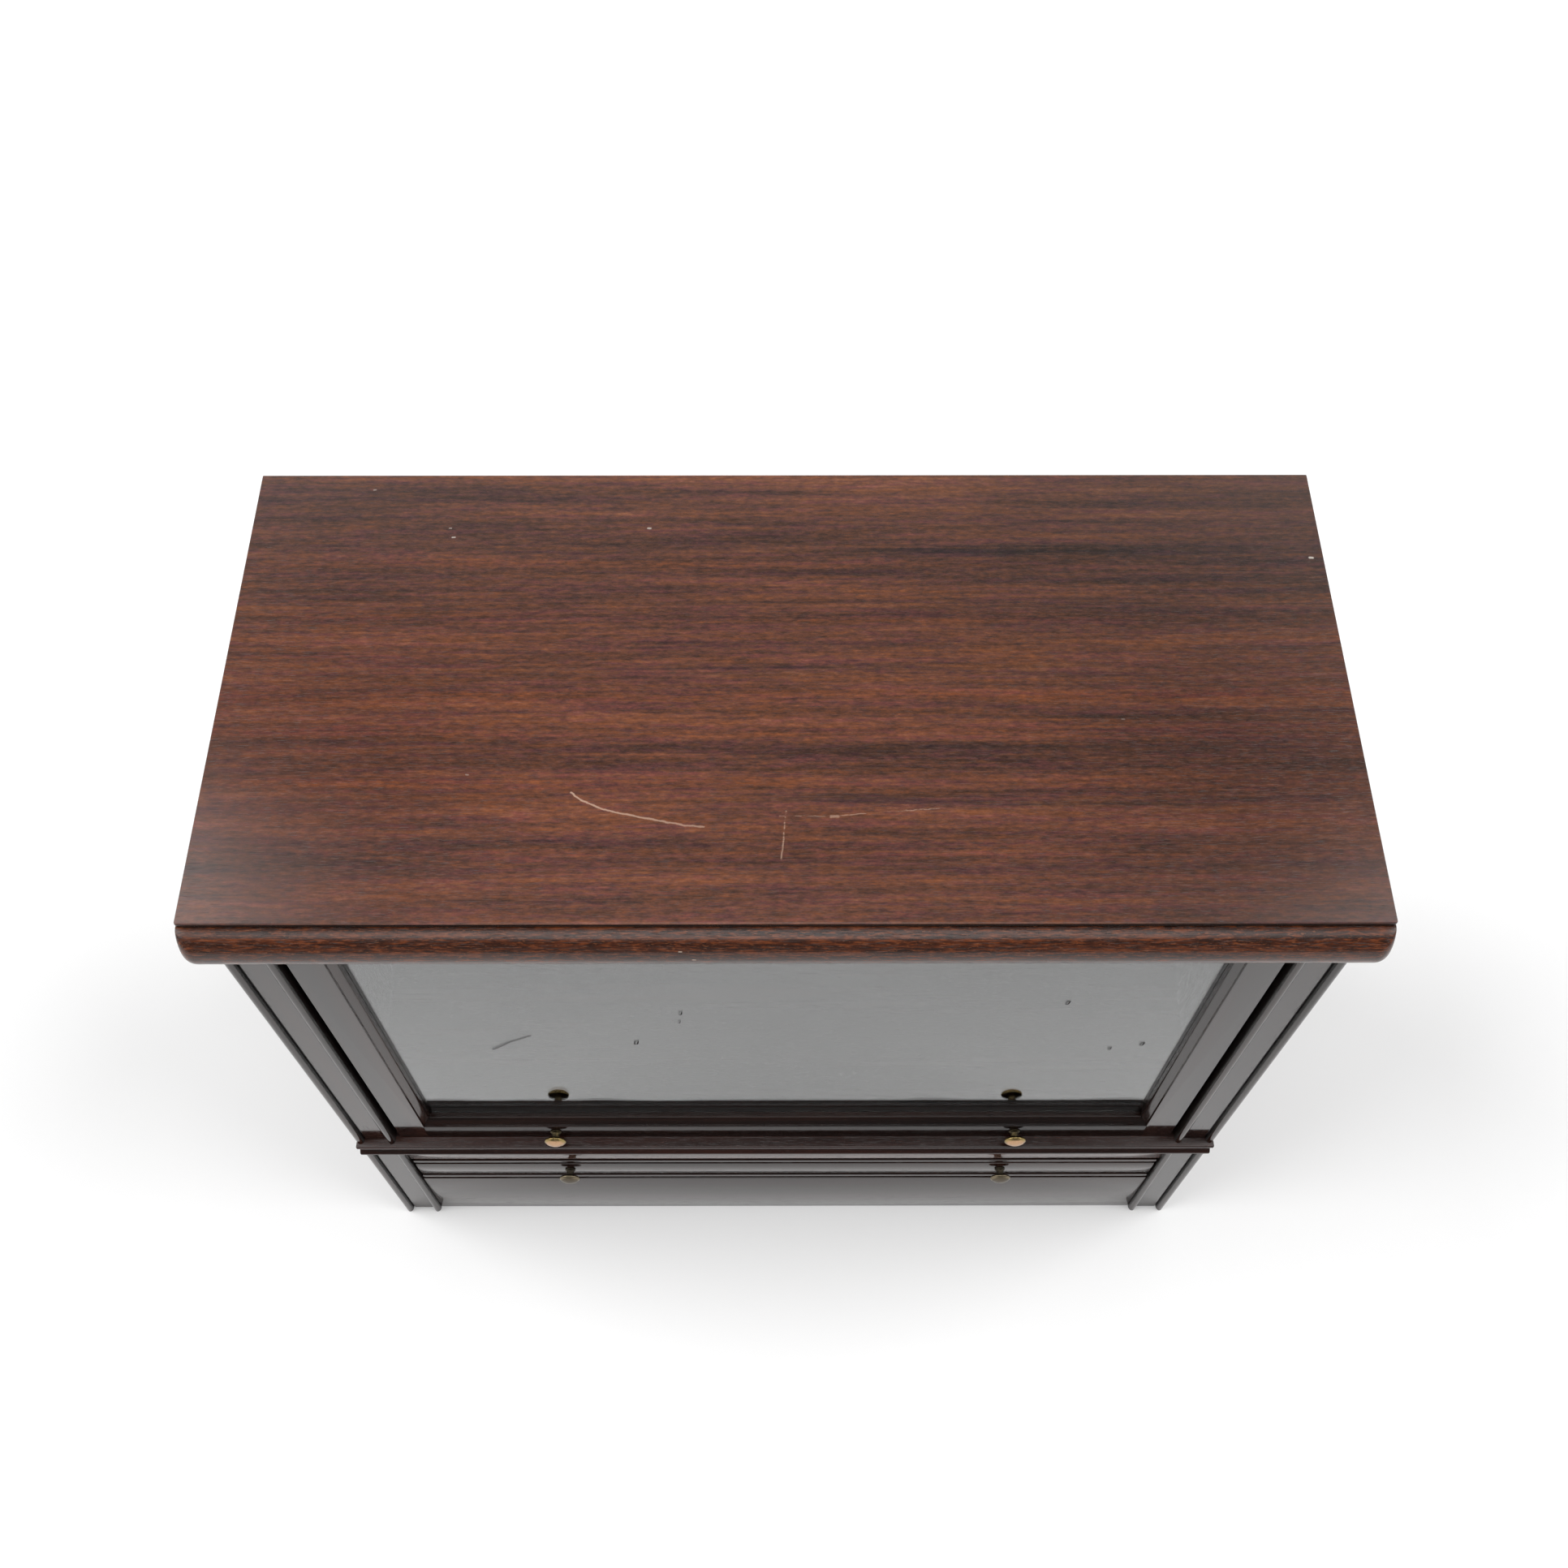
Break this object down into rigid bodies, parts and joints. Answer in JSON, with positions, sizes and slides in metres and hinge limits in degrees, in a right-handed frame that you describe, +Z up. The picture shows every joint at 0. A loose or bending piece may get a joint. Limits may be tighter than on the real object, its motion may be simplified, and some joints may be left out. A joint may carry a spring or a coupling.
{
  "type": "sideboard",
  "caption": "Low wooden cabinet with a wide lift-up, slide-back glazed door over a slim beaded drawer, beaded front posts and a half-round nosing under the flat top.",
  "frame": {"origin": "on the floor, under the middle of the whole: half the width, and half the depth from the nosing's front to the top's back edge", "axes": "+X to the right along the front, +Y from the front to the back, +Z up"},
  "size_m": [0.9, 0.4438, 0.769],
  "materials": {
    "varnished_mahogany": "dark red varnish, glossy, with light wear on the arrises",
    "mahogany_top": "red-brown striped grain under satin varnish, with fine scratches",
    "inside_wood": "bare, dull",
    "back_wood": "bare, dull",
    "aged_brass": "aged, satin",
    "plain_steel": "satin",
    "pane": "clear, polished"
  },
  "bodies": {
    "carcass": {"top_core": "varnished_mahogany", "top_nosing": "varnished_mahogany", "top_lipping_left": "varnished_mahogany", "top_lipping_right": "varnished_mahogany", "upper_post_left": "varnished_mahogany", "upper_post_right": "varnished_mahogany", "upper_side_left": "varnished_mahogany", "upper_side_right": "varnished_mahogany", "base_top_board": "varnished_mahogany", "lower_post_left": "varnished_mahogany", "lower_post_right": "varnished_mahogany", "lower_side_left": "varnished_mahogany", "lower_side_right": "varnished_mahogany", "frieze_rail": "varnished_mahogany", "plinth_front": "varnished_mahogany", "top_panel": "mahogany_top", "door_runner_left": "inside_wood", "door_runner_right": "inside_wood", "drawer_runner_left": "inside_wood", "drawer_runner_right": "inside_wood", "drawer_kicker_left": "inside_wood", "drawer_kicker_right": "inside_wood", "corner_block_left": "inside_wood", "corner_block_right": "inside_wood", "upper_back_left": "back_wood", "upper_back_centre": "back_wood", "upper_back_right": "back_wood", "lower_back": "back_wood"},
    "carriage": {"slide_block_left": "plain_steel", "slide_block_right": "plain_steel", "pivot_pin_left": "plain_steel", "pivot_pin_right": "plain_steel", "tie_rod": "plain_steel"},
    "door": {"door_stile_left": "varnished_mahogany", "door_stile_right": "varnished_mahogany", "door_rail_bottom": "varnished_mahogany", "door_rail_top": "varnished_mahogany", "door_glass": "pane", "glazing_bead_bottom": "varnished_mahogany", "glazing_bead_top": "varnished_mahogany", "glazing_bead_left": "varnished_mahogany", "glazing_bead_right": "varnished_mahogany", "door_knob_left": "aged_brass", "door_knob_right": "aged_brass", "door_knob_screw_left": "plain_steel", "door_knob_screw_right": "plain_steel"},
    "drawer": {"drawer_front": "varnished_mahogany", "drawer_bead_top": "varnished_mahogany", "drawer_bead_bottom": "varnished_mahogany", "drawer_side_left": "inside_wood", "drawer_side_right": "inside_wood", "drawer_back": "inside_wood", "drawer_bottom": "inside_wood", "drawer_knob_left": "aged_brass", "drawer_knob_right": "aged_brass", "drawer_knob_screw_left": "plain_steel", "drawer_knob_screw_right": "plain_steel"}
  },
  "joints": [
    {"name": "carriage_slide", "type": "slide", "parent": "carcass", "child": "carriage", "axis": [0, 1, 0], "range_m": [0, 0.35]},
    {"name": "door_lift", "type": "hinge", "parent": "carriage", "child": "door", "pos_m": [0, -0.19073, 0.7113], "axis": [-1, 0, 0], "range_deg": [0, 90]},
    {"name": "drawer_slide", "type": "slide", "parent": "carcass", "child": "drawer", "axis": [0, -1, 0], "range_m": [0, 0.28]}
  ]
}
